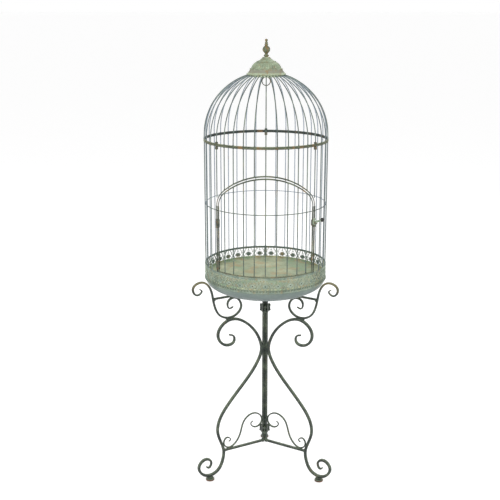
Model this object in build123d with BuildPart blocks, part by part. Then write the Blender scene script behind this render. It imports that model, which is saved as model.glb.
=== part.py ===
from build123d import *
import math
import os

# Bird cage on a three-legged scrolled stand, in millimetres, +Z up.
# The origin is the bottom centre of the bounding box, and the upright axis that the
# cage and the stand share passes through (0, AXIS_Y).

# ---------------------------------------------------------------- driving dimensions
TOTAL_HEIGHT = 1470.0
HOOK_REACH = 271.0  # axis to the outermost edge of a hook
CAGE_R = 198.0  # axis to the centre of the cage bars
LIP_R = 202.0  # axis to the outer edge of the gallery's rolled lip
AXIS_Y = -(HOOK_REACH - LIP_R) / 2

LEG_AZIMUTHS = {"left": -60, "right": 60, "back": 180}

BAR_D = 3.2
FRAME_D = 4.6  # door frame, door arch and the two main rings
HOOP_D = 2.6
RIM_D = 4.0
BAR_COUNT = 36
BAR_STEP = 360 / BAR_COUNT

RING_Z = 1156.4  # joint between the body and the dome
DOME_CENTRE_Z = 1170.0
HOOP_Z = 950.0
RIM_Z = 748.0
BAND_BOTTOM = 699.5
FLOOR_Z = 709.5

DOOR_HALF = 48.0  # degrees from the front to the door's upright
FRAME_HALF = 50.5  # degrees from the front to the fixed upright
ARCH_SPRING = 965.0
FRAME_RISE = 106.0
DOOR_RISE = 98.0
FRAME_HAUNCH = 70.0
DOOR_HAUNCH = 64.0
ARCH_W = 4.2  # seen from the front, at the crown of an arch
ARCH_T = 3.2  # through the wall, so that the leaf turns clear of its frame
SILL_Z = 753.2
HINGE_ZS = (773.5, 910.0)
LATCH_Z = 914.0

ARM_TOP = 651.0
BODY_GAP = 0.3
DISH_BOTTOM = ARM_TOP + BODY_GAP

POST_BAR = 7.2
POST_R = 5.9  # axis to the centre of each upright
POST_FACE = POST_R + POST_BAR / 2
POST_BOTTOM = 92.0
POST_TOP = 647.0
LEG_BAR = 9.0
SCROLL_BAR = 6.8
ARM_BAR = 6.0
BRACE_BAR = 7.5
SMALL_BAR = 4.8
FOOT_R = 222.0

BODY_RING_Z = RING_Z - FRAME_D / 2
DOME_RING_Z = RING_Z + FRAME_D / 2
JOINT_AZIMUTHS = (-50, 50, 180)

STAND_AXIS = Axis((0, AXIS_Y, 0), (0, 0, 1))

os.makedirs("parts", exist_ok=True)


# ---------------------------------------------------------------- frames of reference
def direction(azimuth):
    """Unit vector away from the axis; azimuth 0 is the front and 90 is +X."""
    angle = math.radians(azimuth)
    return Vector(math.sin(angle), -math.cos(angle), 0)


def sideways(azimuth):
    """Unit vector round the cage, towards a larger azimuth."""
    angle = math.radians(azimuth)
    return Vector(math.cos(angle), math.sin(angle), 0)


def wall_point(azimuth, radius, height):
    return Vector(0, AXIS_Y, height) + direction(azimuth) * radius


def level(height):
    return Plane(origin=(0, AXIS_Y, height))


def at_wall(azimuth, radius, height):
    """Level plane centred on a point of the wall."""
    return Plane(origin=wall_point(azimuth, radius, height), x_dir=sideways(azimuth))


def radial(azimuth):
    """Upright plane through the axis: local x is the radius, local y the height."""
    return Plane(
        origin=(0, AXIS_Y, 0),
        x_dir=direction(azimuth),
        z_dir=sideways(azimuth) * -1,
    )


def tangent(azimuth, radius, height):
    """Upright plane that faces outward: local x runs round the cage, local y is up."""
    return Plane(
        origin=wall_point(azimuth, radius, height),
        x_dir=sideways(azimuth),
        z_dir=direction(azimuth),
    )


def save(piece, name):
    piece.part.label = name
    export_step(piece.part, f"parts/{name}.step")


# ---------------------------------------------------------------- shared shapes
def swept_bar(azimuth, points, section, corner, tangents=None):
    """Square bar bent along a smooth curve in one upright plane."""
    with BuildPart() as bar:
        with BuildLine(radial(azimuth)) as path:
            Spline(*points, tangents=tangents)
        start = Plane(
            origin=path.line @ 0, x_dir=sideways(azimuth), z_dir=path.line % 0
        )
        with BuildSketch(start):
            RectangleRounded(section, section, corner)
        sweep()
    return bar


def wire_ring(radius, height, diameter, start=0, sweep_angle=360):
    """Round wire bent into a level ring, or into part of one."""
    with BuildPart() as ring:
        with BuildSketch(radial(start)):
            with Locations((radius, height)):
                Circle(diameter / 2)
        revolve(axis=STAND_AXIS, revolution_arc=sweep_angle)
    return ring


class Arch:
    """Three-centred arch drawn on the front view, tangent to two uprights."""

    def __init__(self, half, rise, haunch):
        self.half = half
        self.span = CAGE_R * math.sin(math.radians(half))
        self.rise = rise
        self.haunch = haunch
        run = self.span - haunch
        up = rise - haunch
        self.drop = (run**2 - up**2) / (2 * up)
        self.crown = rise + self.drop
        reach = math.hypot(run, self.drop)
        self.side = (run / reach, self.drop / reach)

    def height(self, azimuth):
        """Height of the centre line above the springing, at an azimuth."""
        x = abs(CAGE_R * math.sin(math.radians(azimuth)))
        run = self.span - self.haunch
        if x <= run + self.haunch * self.side[0]:
            return math.sqrt(self.crown**2 - x**2) - self.drop
        return math.sqrt(self.haunch**2 - (x - run) ** 2)

    def outline(self, side):
        """Springing, middle of the haunch, joint and top of one edge of the wire."""
        span = self.span + side * ARCH_W / 2 * math.cos(math.radians(self.half))
        rise = self.rise + side * ARCH_W / 2
        haunch = self.haunch + (span - self.span + rise - self.rise) / 2
        run = span - haunch
        up = rise - haunch
        drop = (run**2 - up**2) / (2 * up)
        bend = math.atan2(drop, run)
        joint = (run + haunch * math.cos(bend), haunch * math.sin(bend))
        mid = (run + haunch * math.cos(bend / 2), haunch * math.sin(bend / 2))
        return (span, 0), mid, joint, (0, rise)


FRONT_SPRING = Plane(
    origin=(0, AXIS_Y, ARCH_SPRING), x_dir=(1, 0, 0), z_dir=(0, -1, 0)
)


def arch_wire(arch, bottom):
    """Arch bent to the cage's wall, on two round uprights."""
    with BuildPart() as wire:
        with BuildSketch(FRONT_SPRING):
            for edge, mode in ((1, Mode.ADD), (-1, Mode.SUBTRACT)):
                end, mid, joint, top = arch.outline(edge)
                with BuildLine():
                    ThreePointArc(end, mid, joint)
                    ThreePointArc(joint, top, (-joint[0], joint[1]))
                    ThreePointArc((-joint[0], joint[1]), (-mid[0], mid[1]), (-end[0], 0))
                    Line((-end[0], 0), end)
                make_face(mode=mode)
        extrude(amount=CAGE_R + 20)
        with BuildSketch(level(ARCH_SPRING)):
            Circle(CAGE_R + ARCH_T / 2)
            Circle(CAGE_R - ARCH_T / 2, mode=Mode.SUBTRACT)
        extrude(amount=arch.rise + 20, mode=Mode.INTERSECT)
        for side in (-1, 1):
            with BuildSketch(at_wall(side * arch.half, CAGE_R, bottom)):
                Circle(FRAME_D / 2)
            extrude(amount=ARCH_SPRING - bottom)
    return wire


# ---------------------------------------------------------------- stand: the post
def make_upright(azimuth):
    with BuildPart() as upright:
        with BuildSketch(at_wall(azimuth, POST_R, POST_BOTTOM)):
            RectangleRounded(POST_BAR, POST_BAR, 0.8)
        extrude(amount=POST_TOP - POST_BOTTOM)
    return upright


for side, azimuth in LEG_AZIMUTHS.items():
    save(make_upright(azimuth), f"upright_{side}")


# ---------------------------------------------------------------- stand: the S legs
def make_leg(azimuth):
    """Square bar curled at the top, leaning on the post, waisted and curled at the foot."""
    weld = POST_FACE + LEG_BAR / 2 + 0.1
    waist = 162.0
    points = (
        (139, 514),
        (121, 507),
        (120, 488),
        (149, 480),
        (179, 522),
        (139, 565.4),
        (62, 536),
        (22, 478),
        (weld, 440),
        (29, 398),
        (85, 327),
        (143, 264),
        (177, 212),
        (184, 172),
        (170, 125),
        (waist, 97),
        (166, 62),
        (184, 29),
        (215, 16.5),
        (247, 31),
        (256, 58),
        (229, 80),
        (210, 62),
        (220, 46),
        (229, 53),
    )
    return swept_bar(azimuth, points, LEG_BAR, 1.4)


for side, azimuth in LEG_AZIMUTHS.items():
    save(make_leg(azimuth), f"leg_{side}")


# ---------------------------------------------------------------- stand: the top scrolls
def make_top_scroll(azimuth):
    """Hook outside the dish that runs down into an inward scroll under it."""
    outside = HOOK_REACH - SCROLL_BAR / 2
    points = (
        (245, 689),
        (236, 682),
        (250, 670),
        (outside, 692),
        (236, 710.5),
        (204, 681),
        (196, 648),
        (189, 618),
        (173, 589.5),
        (146, 575.8),
        (112, 580.8),
        (92, 608),
        (117, 641),
        (142, 628),
        (137, 607),
        (121, 611),
    )
    return swept_bar(azimuth, points, SCROLL_BAR, 1.1)


for side, azimuth in LEG_AZIMUTHS.items():
    save(make_top_scroll(azimuth), f"top_scroll_{side}")


# ---------------------------------------------------------------- stand: support arms
ARM_IN = 100.0
ARM_OUT = 191.5
RIVET_R = 118.0
RIVET_D = 4.0


def make_arm(azimuth):
    """Level bar from the scroll inward; the cage's dish rests on it."""
    with BuildPart() as arm:
        with BuildSketch(radial(azimuth)):
            with Locations(((ARM_IN + ARM_OUT) / 2, ARM_TOP - ARM_BAR / 2)):
                RectangleRounded(ARM_OUT - ARM_IN, ARM_BAR, 1.2)
        extrude(amount=ARM_BAR / 2, both=True)
        with BuildSketch(at_wall(azimuth, RIVET_R, ARM_TOP)):
            Circle(RIVET_D / 2)
        extrude(amount=-ARM_BAR, mode=Mode.SUBTRACT)
    return arm


for side, azimuth in LEG_AZIMUTHS.items():
    save(make_arm(azimuth), f"support_arm_{side}")

with BuildPart() as arm_rivets:
    for azimuth in LEG_AZIMUTHS.values():
        with BuildSketch(at_wall(azimuth, RIVET_R, ARM_TOP)):
            Circle(RIVET_D / 2)
        extrude(amount=-ARM_BAR)
        with BuildSketch(at_wall(azimuth, RIVET_R, ARM_TOP)):
            Circle(3.2)
        extrude(amount=0.7, taper=30)
save(arm_rivets, "arm_rivets")


# ---------------------------------------------------------------- stand: lower braces
BRACE_Z = 97.0
BRACE_OUT = 161.5 - LEG_BAR / 2


def make_brace(azimuth):
    with BuildPart() as brace:
        with BuildSketch(radial(azimuth)):
            with Locations(((POST_FACE + BRACE_OUT) / 2, BRACE_Z)):
                Rectangle(BRACE_OUT - POST_FACE, BRACE_BAR)
        extrude(amount=BRACE_BAR / 2, both=True)
        fillet(brace.edges().filter_by(Axis(origin=(0, 0, 0), direction=direction(azimuth))), 1.0)
    return brace


def make_brace_scroll(azimuth):
    """Small S scroll that fills the corner between the post, the brace and the leg."""
    post_side = POST_FACE + SMALL_BAR / 2 + 0.3
    brace_side = BRACE_Z + BRACE_BAR / 2 + SMALL_BAR / 2 + 0.5
    points = (
        (46, 181),
        (55, 173),
        (42, 157),
        (post_side + 6, 163),
        (post_side, 183),
        (42, 209),
        (81, 190),
        (95, 152),
        (112, 119),
        (142, brace_side),
        (161, 124),
        (147, 142),
        (135, 131),
        (143, 125),
    )
    return swept_bar(azimuth, points, SMALL_BAR, 0.8)


for side, azimuth in LEG_AZIMUTHS.items():
    save(make_brace(azimuth), f"brace_{side}")
    save(make_brace_scroll(azimuth), f"brace_scroll_{side}")


# ---------------------------------------------------------------- stand: feet
PAD_D = 29.0
PAD_T = 4.5
CUP_TOP = 16.5 - LEG_BAR / 2


def make_foot(azimuth):
    """Cup under the leg, with a narrower neck; the pad is fixed below it."""
    with BuildPart() as foot:
        with BuildSketch(at_wall(azimuth, FOOT_R - 7, PAD_T)):
            Circle(PAD_D / 2 - 0.6)
        extrude(amount=3.0, taper=22)
        with BuildSketch(at_wall(azimuth, FOOT_R - 7, PAD_T + 3.0)):
            Circle(9.5)
        extrude(amount=CUP_TOP - PAD_T - 3.0, taper=6)
    return foot


for side, azimuth in LEG_AZIMUTHS.items():
    save(make_foot(azimuth), f"foot_{side}")

with BuildPart() as foot_pads:
    for azimuth in LEG_AZIMUTHS.values():
        with BuildSketch(at_wall(azimuth, FOOT_R - 7, 0)):
            Circle(PAD_D / 2)
        extrude(amount=PAD_T)
    fillet(foot_pads.edges().filter_by(GeomType.CIRCLE), 0.8)
save(foot_pads, "foot_pads")


# ---------------------------------------------------------------- stand: post clamps
CLAMP_H = 25.0
CLAMP_T = 2.0
EAR_IN = 6.5
EAR_OUT = 19.0
EAR_GAP = 0.3
EAR_HOLE_R = 15.0
CLAMP_BOLT_D = 4.0
CLAMP_BOLT_PITCH = 16.0
CLAMP_ZS = (141.5, 586.5)
CLAMP_BOLT_HEIGHTS = [
    z + step * CLAMP_BOLT_PITCH / 2 for z in CLAMP_ZS for step in (-1, 1)
]
EAR_AZIMUTHS = (0, 120, 240)


def make_clamp(middle):
    """Three bent plates, one round each upright, that meet in three pairs of ears."""
    bottom = middle - CLAMP_H / 2
    web = POST_BAR + 2 * CLAMP_T
    with BuildPart() as clamp:
        for azimuth in LEG_AZIMUTHS.values():
            with BuildSketch(at_wall(azimuth, 0, bottom)):
                with Locations((0, -(POST_FACE + CLAMP_T + EAR_IN / 2) / 2 - 1)):
                    Rectangle(web, POST_FACE + CLAMP_T - EAR_IN / 2 - 2)
                for turn in (-60, 60):
                    ear = (EAR_IN + EAR_OUT) / 2
                    across = math.copysign(EAR_GAP / 2 + CLAMP_T / 2, turn)
                    spin = math.radians(turn)
                    u = ear * math.cos(spin) + across * math.sin(spin)
                    v = ear * math.sin(spin) - across * math.cos(spin)
                    with Locations(Location((v, -u, 0), turn)):
                        Rectangle(CLAMP_T, EAR_OUT - EAR_IN)
                with Locations((0, -POST_R)):
                    Rectangle(POST_BAR, POST_BAR, mode=Mode.SUBTRACT)
            extrude(amount=CLAMP_H)
        for azimuth in EAR_AZIMUTHS:
            for height in (middle - CLAMP_BOLT_PITCH / 2, middle + CLAMP_BOLT_PITCH / 2):
                hole = Plane(
                    origin=wall_point(azimuth, EAR_HOLE_R, height),
                    x_dir=direction(azimuth),
                    z_dir=sideways(azimuth),
                )
                with BuildSketch(hole):
                    Circle(CLAMP_BOLT_D / 2)
                extrude(amount=4, both=True, mode=Mode.SUBTRACT)
    return clamp


save(make_clamp(CLAMP_ZS[0]), "clamp_lower")
save(make_clamp(CLAMP_ZS[1]), "clamp_upper")

EAR_FACE = EAR_GAP / 2 + CLAMP_T
NUT_T = 3.2
HEAD_T = 2.6

with BuildPart() as clamp_bolts:
    for azimuth in EAR_AZIMUTHS:
        for height in CLAMP_BOLT_HEIGHTS:
            seat = Plane(
                origin=wall_point(azimuth, EAR_HOLE_R, height),
                x_dir=direction(azimuth),
                z_dir=sideways(azimuth),
            )
            with BuildSketch(seat.offset(EAR_FACE)):
                RegularPolygon(3.5, 6, major_radius=False)
            extrude(amount=HEAD_T)
            with BuildSketch(seat.offset(EAR_FACE)):
                Circle(CLAMP_BOLT_D / 2)
            extrude(amount=-(2 * EAR_FACE + NUT_T + 1.2))
save(clamp_bolts, "clamp_bolts")

with BuildPart() as clamp_nuts:
    for azimuth in EAR_AZIMUTHS:
        for height in CLAMP_BOLT_HEIGHTS:
            seat = Plane(
                origin=wall_point(azimuth, EAR_HOLE_R, height),
                x_dir=direction(azimuth),
                z_dir=sideways(azimuth),
            )
            with BuildSketch(seat.offset(-EAR_FACE)):
                RegularPolygon(3.5, 6, major_radius=False)
                Circle(CLAMP_BOLT_D / 2, mode=Mode.SUBTRACT)
            extrude(amount=-NUT_T)
save(clamp_nuts, "clamp_nuts")

# ---------------------------------------------------------------- cage: dish and floor
SHEET = 1.4
DISH_FLAT_R = 86.0
DISH_LIP_R = 198.6

with BuildPart() as base_dish:
    with BuildSketch(radial(0)):
        with BuildLine():
            Line((0, DISH_BOTTOM), (DISH_FLAT_R, DISH_BOTTOM))
            Spline(
                (DISH_FLAT_R, DISH_BOTTOM),
                (141, 656),
                (173, 669),
                (DISH_LIP_R, 697),
                tangents=[(1, 0), (0.25, 1)],
            )
            Line((DISH_LIP_R, 697), (DISH_LIP_R, FLOOR_Z))
            Line((DISH_LIP_R, FLOOR_Z), (DISH_LIP_R - SHEET, FLOOR_Z))
            Line((DISH_LIP_R - SHEET, FLOOR_Z), (DISH_LIP_R - SHEET, 697.6))
            Spline(
                (DISH_LIP_R - SHEET, 697.6),
                (172.2, 670.4),
                (140.6, 657.4),
                (DISH_FLAT_R, DISH_BOTTOM + SHEET),
                tangents=[(-0.25, -1), (-1, 0)],
            )
            Line((DISH_FLAT_R, DISH_BOTTOM + SHEET), (0, DISH_BOTTOM + SHEET))
            Line((0, DISH_BOTTOM + SHEET), (0, DISH_BOTTOM))
        make_face()
    revolve(axis=STAND_AXIS)
save(base_dish, "base_dish")

FLOOR_T = 1.2
FLOOR_EDGE = 5.0

with BuildPart() as floor_tray:
    with BuildSketch(radial(0)):
        with BuildLine():
            Polyline(
                (0, FLOOR_Z),
                (DISH_LIP_R, FLOOR_Z),
                (DISH_LIP_R, FLOOR_Z + FLOOR_EDGE),
                (DISH_LIP_R - FLOOR_T, FLOOR_Z + FLOOR_EDGE),
                (DISH_LIP_R - FLOOR_T, FLOOR_Z + FLOOR_T),
                (0, FLOOR_Z + FLOOR_T),
                close=True,
            )
        make_face()
    revolve(axis=STAND_AXIS)
save(floor_tray, "floor_tray")

# ---------------------------------------------------------------- cage: pierced gallery
BAND_T = 1.0
BAND_IN = DISH_LIP_R + 0.1
BAND_OUT = BAND_IN + BAND_T
BAND_TOP = RIM_Z - RIM_D / 2
BAND_MID = (BAND_TOP + BAND_BOTTOM) / 2
MOTIF_COUNT = 31
MOTIF_STEP = 360 / MOTIF_COUNT
MOTIF_W = 2 * math.pi * BAND_OUT / MOTIF_COUNT
WAVE = 18.5  # height of the crossing waves above the middle of the band
RIB = 1.3  # half width of a wave


def wave(x, lift):
    """Height of a wave over one motif, moved up or down by its half width."""
    return WAVE * math.cos(math.pi * x / MOTIF_W) + lift


INNER = MOTIF_W * 0.42  # half length of the crescents round a boss
CORNER = MOTIF_W / 2
TRIANGLE = 15.5  # half width of the openings between two crossings

# Each motif has two crescents round an oval boss, two corner openings and a centre hole.
with BuildPart() as gallery_band:
    with BuildSketch(radial(0)):
        with Locations(((BAND_IN + BAND_OUT) / 2, BAND_MID)):
            Rectangle(BAND_T, BAND_TOP - BAND_BOTTOM)
    revolve(axis=STAND_AXIS)
    for i in range(MOTIF_COUNT):
        with BuildSketch(tangent(i * MOTIF_STEP, BAND_IN - 6, BAND_MID)):
            for side in (-1, 1):
                with BuildLine():
                    Spline(
                        (-INNER, side * 1.2),
                        (-INNER / 2, side * wave(INNER / 2, -RIB)),
                        (0, side * wave(0, -RIB)),
                        (INNER / 2, side * wave(INNER / 2, -RIB)),
                        (INNER, side * 1.2),
                    )
                    Line((INNER, side * 1.2), (8.6, side * 1.2))
                    Spline(
                        (8.6, side * 1.2),
                        (5.8, side * 5.2),
                        (0, side * 6.6),
                        (-5.8, side * 5.2),
                        (-8.6, side * 1.2),
                    )
                    Line((-8.6, side * 1.2), (-INNER, side * 1.2))
                make_face()
                with BuildLine():
                    Line((CORNER - TRIANGLE, side * 21.5), (CORNER + TRIANGLE, side * 21.5))
                    Line((CORNER + TRIANGLE, side * 21.5), (CORNER, side * 3.6))
                    Line((CORNER, side * 3.6), (CORNER - TRIANGLE, side * 21.5))
                make_face()
            Circle(1.8)
    extrude(amount=10, mode=Mode.SUBTRACT)
save(gallery_band, "gallery_band")

SEAM_W = 9.0
SEAM_R = BAND_OUT + 0.8

with BuildPart() as band_seam:
    with BuildSketch(radial(180 - math.degrees(SEAM_W / 2 / BAND_OUT))):
        with Locations(((BAND_OUT + SEAM_R) / 2, BAND_MID + 1.5)):
            Rectangle(SEAM_R - BAND_OUT, BAND_TOP - BAND_BOTTOM - 3)
    revolve(axis=STAND_AXIS, revolution_arc=math.degrees(SEAM_W / BAND_OUT))
    for height in (BAND_MID - 16, BAND_MID, BAND_MID + 16):
        with BuildSketch(tangent(180, SEAM_R - 0.3, height)):
            Circle(1.8)
        extrude(amount=1.2, taper=25)
save(band_seam, "band_seam")

LIP_D = LIP_R - BAND_OUT
band_lip = wire_ring(BAND_OUT + LIP_D / 2 + 0.02, 700.8, LIP_D)
save(band_lip, "band_lip")

# ---------------------------------------------------------------- cage: body bars
frame_arch = Arch(FRAME_HALF, FRAME_RISE, FRAME_HAUNCH)
leaf_arch = Arch(DOOR_HALF, DOOR_RISE, DOOR_HAUNCH)
SOCKET_Z = RIM_Z + 0.5
SIDE_BAR_END = 992.0
JOINT_TIP = 1146.0

with BuildPart() as body_bars:
    for i in range(BAR_COUNT):
        azimuth = i * BAR_STEP
        if azimuth > 180:
            azimuth -= 360
        if abs(azimuth) < DOOR_HALF:
            foot = ARCH_SPRING + frame_arch.height(azimuth)
        elif abs(azimuth) < FRAME_HALF:
            foot = SIDE_BAR_END
        else:
            foot = SOCKET_Z
        head = JOINT_TIP - 0.4 if azimuth in JOINT_AZIMUTHS else BODY_RING_Z
        with BuildSketch(at_wall(azimuth, CAGE_R, foot)):
            Circle(BAR_D / 2)
        extrude(amount=head - foot)
save(body_bars, "body_bars")

# ---------------------------------------------------------------- dome bars
CROWN_R = 57.4
DOME_SWEEP = math.degrees(math.acos(CROWN_R / CAGE_R))

with BuildPart() as dome_bars:
    for i in range(BAR_COUNT):
        azimuth = i * BAR_STEP
        if azimuth > 180:
            azimuth -= 360
        foot = JOINT_TIP if azimuth in JOINT_AZIMUTHS else DOME_RING_Z
        with BuildSketch(at_wall(azimuth, CAGE_R, foot)):
            Circle(BAR_D / 2)
        extrude(amount=DOME_CENTRE_Z - foot)
        with BuildSketch(at_wall(azimuth, CAGE_R, DOME_CENTRE_Z)):
            Circle(BAR_D / 2)
        revolve(
            axis=Axis((0, AXIS_Y, DOME_CENTRE_Z), sideways(azimuth) * -1),
            revolution_arc=DOME_SWEEP,
        )
save(dome_bars, "dome_bars")

# ---------------------------------------------------------------- rings of the body
with BuildPart() as body_ring:
    with BuildSketch(radial(5)):
        with Locations((CAGE_R, BODY_RING_Z)):
            Circle(FRAME_D / 2)
    revolve(axis=STAND_AXIS)
    add([body_bars.part, dome_bars.part], mode=Mode.SUBTRACT)
save(body_ring, "body_ring")

with BuildPart() as dome_ring:
    with BuildSketch(radial(5)):
        with Locations((CAGE_R, DOME_RING_Z + 0.02)):
            Circle(FRAME_D / 2)
    revolve(axis=STAND_AXIS)
    add(dome_bars.part, mode=Mode.SUBTRACT)
save(dome_ring, "dome_ring")

with BuildPart() as band_rim:
    with BuildSketch(radial(5)):
        with Locations((CAGE_R + 0.6, RIM_Z)):
            Circle(RIM_D / 2)
    revolve(axis=STAND_AXIS)
    add(body_bars.part, mode=Mode.SUBTRACT)
save(band_rim, "band_rim")

HOOP_R = CAGE_R - BAR_D / 2 - HOOP_D / 2
HOOP_END = FRAME_HALF + 0.75
body_hoop = wire_ring(HOOP_R, HOOP_Z, HOOP_D, HOOP_END, 360 - 2 * HOOP_END)
save(body_hoop, "body_hoop")

# ---------------------------------------------------------------- joint nuts and collars
NUT_TOP = BODY_RING_Z - FRAME_D / 2

with BuildPart() as joint_nuts:
    for azimuth in JOINT_AZIMUTHS:
        with BuildSketch(at_wall(azimuth, CAGE_R, NUT_TOP)):
            RegularPolygon(4.2, 6, major_radius=False)
            Circle(BAR_D / 2, mode=Mode.SUBTRACT)
        extrude(amount=-9)
save(joint_nuts, "joint_nuts")

with BuildPart() as joint_collars:
    for azimuth in JOINT_AZIMUTHS:
        with BuildSketch(at_wall(azimuth, CAGE_R, DOME_RING_Z + FRAME_D / 2 + 0.02)):
            Circle(4.6)
            Circle(BAR_D / 2, mode=Mode.SUBTRACT)
        extrude(amount=4.5)
save(joint_collars, "joint_collars")

# ---------------------------------------------------------------- fixed door frame
door_frame = arch_wire(frame_arch, RIM_Z + RIM_D / 2)
with BuildPart() as door_frame_drilled:
    add(door_frame.part)
    add(body_bars.part, mode=Mode.SUBTRACT)
save(door_frame_drilled, "door_frame")

STRAP_H = 25.0
COLLAR_H = 3.0

with BuildPart() as hinge_collars:
    for height in HINGE_ZS:
        with BuildSketch(
            at_wall(-FRAME_HALF, CAGE_R, height - STRAP_H / 2 - BODY_GAP - COLLAR_H)
        ):
            Circle(3.6)
            Circle(FRAME_D / 2, mode=Mode.SUBTRACT)
        extrude(amount=COLLAR_H)
save(hinge_collars, "hinge_collars")

# ---------------------------------------------------------------- door
door_arch_wire = arch_wire(leaf_arch, SILL_Z - FRAME_D / 2)
DOOR_BAR_AZIMUTHS = [step * BAR_STEP for step in range(-4, 5)]

with BuildPart() as door_bars:
    for azimuth in DOOR_BAR_AZIMUTHS:
        head = ARCH_SPRING + leaf_arch.height(azimuth)
        with BuildSketch(at_wall(azimuth, CAGE_R, SILL_Z)):
            Circle(BAR_D / 2)
        extrude(amount=head - SILL_Z)
save(door_bars, "door_bars")

with BuildPart() as door_arch:
    add(door_arch_wire.part)
    add(door_bars.part, mode=Mode.SUBTRACT)
save(door_arch, "door_arch")

SILL_END = DOOR_HALF - math.degrees(FRAME_D / 2 / CAGE_R)
sill_wire = wire_ring(CAGE_R, SILL_Z, FRAME_D, -SILL_END, 2 * SILL_END)
with BuildPart() as door_sill:
    add(sill_wire.part)
    add(door_bars.part, mode=Mode.SUBTRACT)
save(door_sill, "door_sill")

DOOR_HOOP_END = DOOR_HALF - 0.75
door_hoop = wire_ring(HOOP_R, HOOP_Z, HOOP_D, -DOOR_HOOP_END, 2 * DOOR_HOOP_END)
save(door_hoop, "door_hoop")

# ---------------------------------------------------------------- hinge straps
STRAP_WALL = 1.3
HINGE_PLAY = 0.05
WEB_MID = (FRAME_HALF + DOOR_HALF) / 2
WEB_L = 2 * CAGE_R * math.sin(math.radians((FRAME_HALF - DOOR_HALF) / 2))

with BuildPart() as hinge_straps:
    for height in HINGE_ZS:
        bottom = height - STRAP_H / 2
        with BuildSketch(at_wall(-FRAME_HALF, CAGE_R, bottom)):
            Circle(FRAME_D / 2 + STRAP_WALL)
        with BuildSketch(at_wall(-DOOR_HALF, CAGE_R, bottom)):
            Circle(FRAME_D / 2 + STRAP_WALL)
        chord = CAGE_R * math.cos(math.radians((FRAME_HALF - DOOR_HALF) / 2))
        with BuildSketch(at_wall(-WEB_MID, chord, bottom)):
            Rectangle(WEB_L, 4.2)
        extrude(amount=STRAP_H)
        with BuildSketch(at_wall(-FRAME_HALF, CAGE_R, bottom)):
            Circle(FRAME_D / 2 + HINGE_PLAY)
        with BuildSketch(at_wall(-DOOR_HALF, CAGE_R, bottom)):
            Circle(FRAME_D / 2)
        extrude(amount=STRAP_H, mode=Mode.SUBTRACT)
save(hinge_straps, "hinge_straps")

# ---------------------------------------------------------------- latch
PIVOT_D = 4.0
LEVER_IN = CAGE_R + 5.0
LEVER_T = 3.0
LEVER_OUT = LEVER_IN + LEVER_T

with BuildPart() as latch_pivot:
    with BuildSketch(at_wall(DOOR_HALF, CAGE_R + 0.6, LATCH_Z - 9)):
        RectangleRounded(8.4, 8.0, 1.2)
    extrude(amount=18)
    with BuildSketch(tangent(DOOR_HALF, CAGE_R + 4, LATCH_Z)):
        Circle(PIVOT_D / 2)
    extrude(amount=LEVER_OUT - CAGE_R - 4 + BODY_GAP)
    with BuildSketch(tangent(DOOR_HALF, LEVER_OUT + BODY_GAP, LATCH_Z)):
        Circle(3.6)
    extrude(amount=1.6, taper=20)
    with BuildSketch(at_wall(DOOR_HALF, CAGE_R, LATCH_Z - 9)):
        Circle(FRAME_D / 2)
    extrude(amount=18, mode=Mode.SUBTRACT)
save(latch_pivot, "latch_pivot")

KNOB_REACH = 41.0
KNOB_R = 6.7
LEVER_END = 29.0
LEVER_LIFT = 2.5

with BuildPart() as latch_lever:
    with BuildSketch(tangent(DOOR_HALF, LEVER_IN, LATCH_Z)):
        Circle(6.2)
        with BuildLine():
            Spline(
                (-5.0, 3.4),
                (-3.5, 12.0),
                (2.5, 14.6),
                (5.2, 11.6),
                (3.2, 8.4),
                (5.6, 2.0),
            )
            Line((5.6, 2.0), (-5.0, 3.4))
        make_face()
        with BuildLine():
            Polyline(
                (0, -3.0),
                (LEVER_END, LEVER_LIFT - 2.2),
                (LEVER_END, LEVER_LIFT + 2.2),
                (0, 5.4),
                close=True,
            )
        make_face()
        Circle(PIVOT_D / 2 + HINGE_PLAY, mode=Mode.SUBTRACT)
    extrude(amount=LEVER_T)
    stem = Plane(
        origin=wall_point(DOOR_HALF, LEVER_IN + LEVER_T / 2, LATCH_Z + LEVER_LIFT)
        + sideways(DOOR_HALF) * (LEVER_END - 2),
        x_dir=direction(DOOR_HALF),
        z_dir=sideways(DOOR_HALF),
    )
    with BuildSketch(stem):
        Circle(1.4)
    extrude(amount=KNOB_REACH - LEVER_END + 2)
save(latch_lever, "latch_lever")

knob_centre = (
    wall_point(DOOR_HALF, LEVER_IN + LEVER_T / 2, LATCH_Z + LEVER_LIFT)
    + sideways(DOOR_HALF) * KNOB_REACH
)
KNOB_TIP = KNOB_R + 6.5
knob_plane = Plane(origin=knob_centre, x_dir=(0, 0, 1), z_dir=direction(DOOR_HALF))

with BuildPart() as latch_knob:
    with BuildSketch(knob_plane):
        with BuildLine():
            ThreePointArc((0, KNOB_R), (KNOB_R, 0), (0, -KNOB_R))
            Line((0, -KNOB_R), (0, KNOB_R))
        make_face()
        with BuildLine():
            Polyline((0, 0), (0, -KNOB_TIP), (0.8, -KNOB_TIP + 0.6), (2.6, -5.0), close=True)
        make_face()
    revolve(axis=Axis(knob_centre, sideways(DOOR_HALF)))
    with BuildSketch(stem):
        Circle(1.4)
    extrude(amount=KNOB_REACH - LEVER_END + 2, mode=Mode.SUBTRACT)
save(latch_knob, "latch_knob")

SHELF_TOP = LATCH_Z - 2.7
SHELF_T = 2.4

with BuildPart() as latch_keeper:
    with BuildSketch(at_wall(FRAME_HALF, CAGE_R + 0.2, LATCH_Z - 15)):
        RectangleRounded(7.6, 7.6, 1.6)
    extrude(amount=11)
    with BuildSketch(at_wall(FRAME_HALF, CAGE_R + 6.5, SHELF_TOP - SHELF_T)):
        RectangleRounded(5.0, 10.0, 1.2)
    extrude(amount=SHELF_T)
    with BuildSketch(at_wall(FRAME_HALF, CAGE_R, LATCH_Z - 16)):
        Circle(FRAME_D / 2)
    extrude(amount=14, mode=Mode.SUBTRACT)
save(latch_keeper, "latch_keeper")

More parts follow.
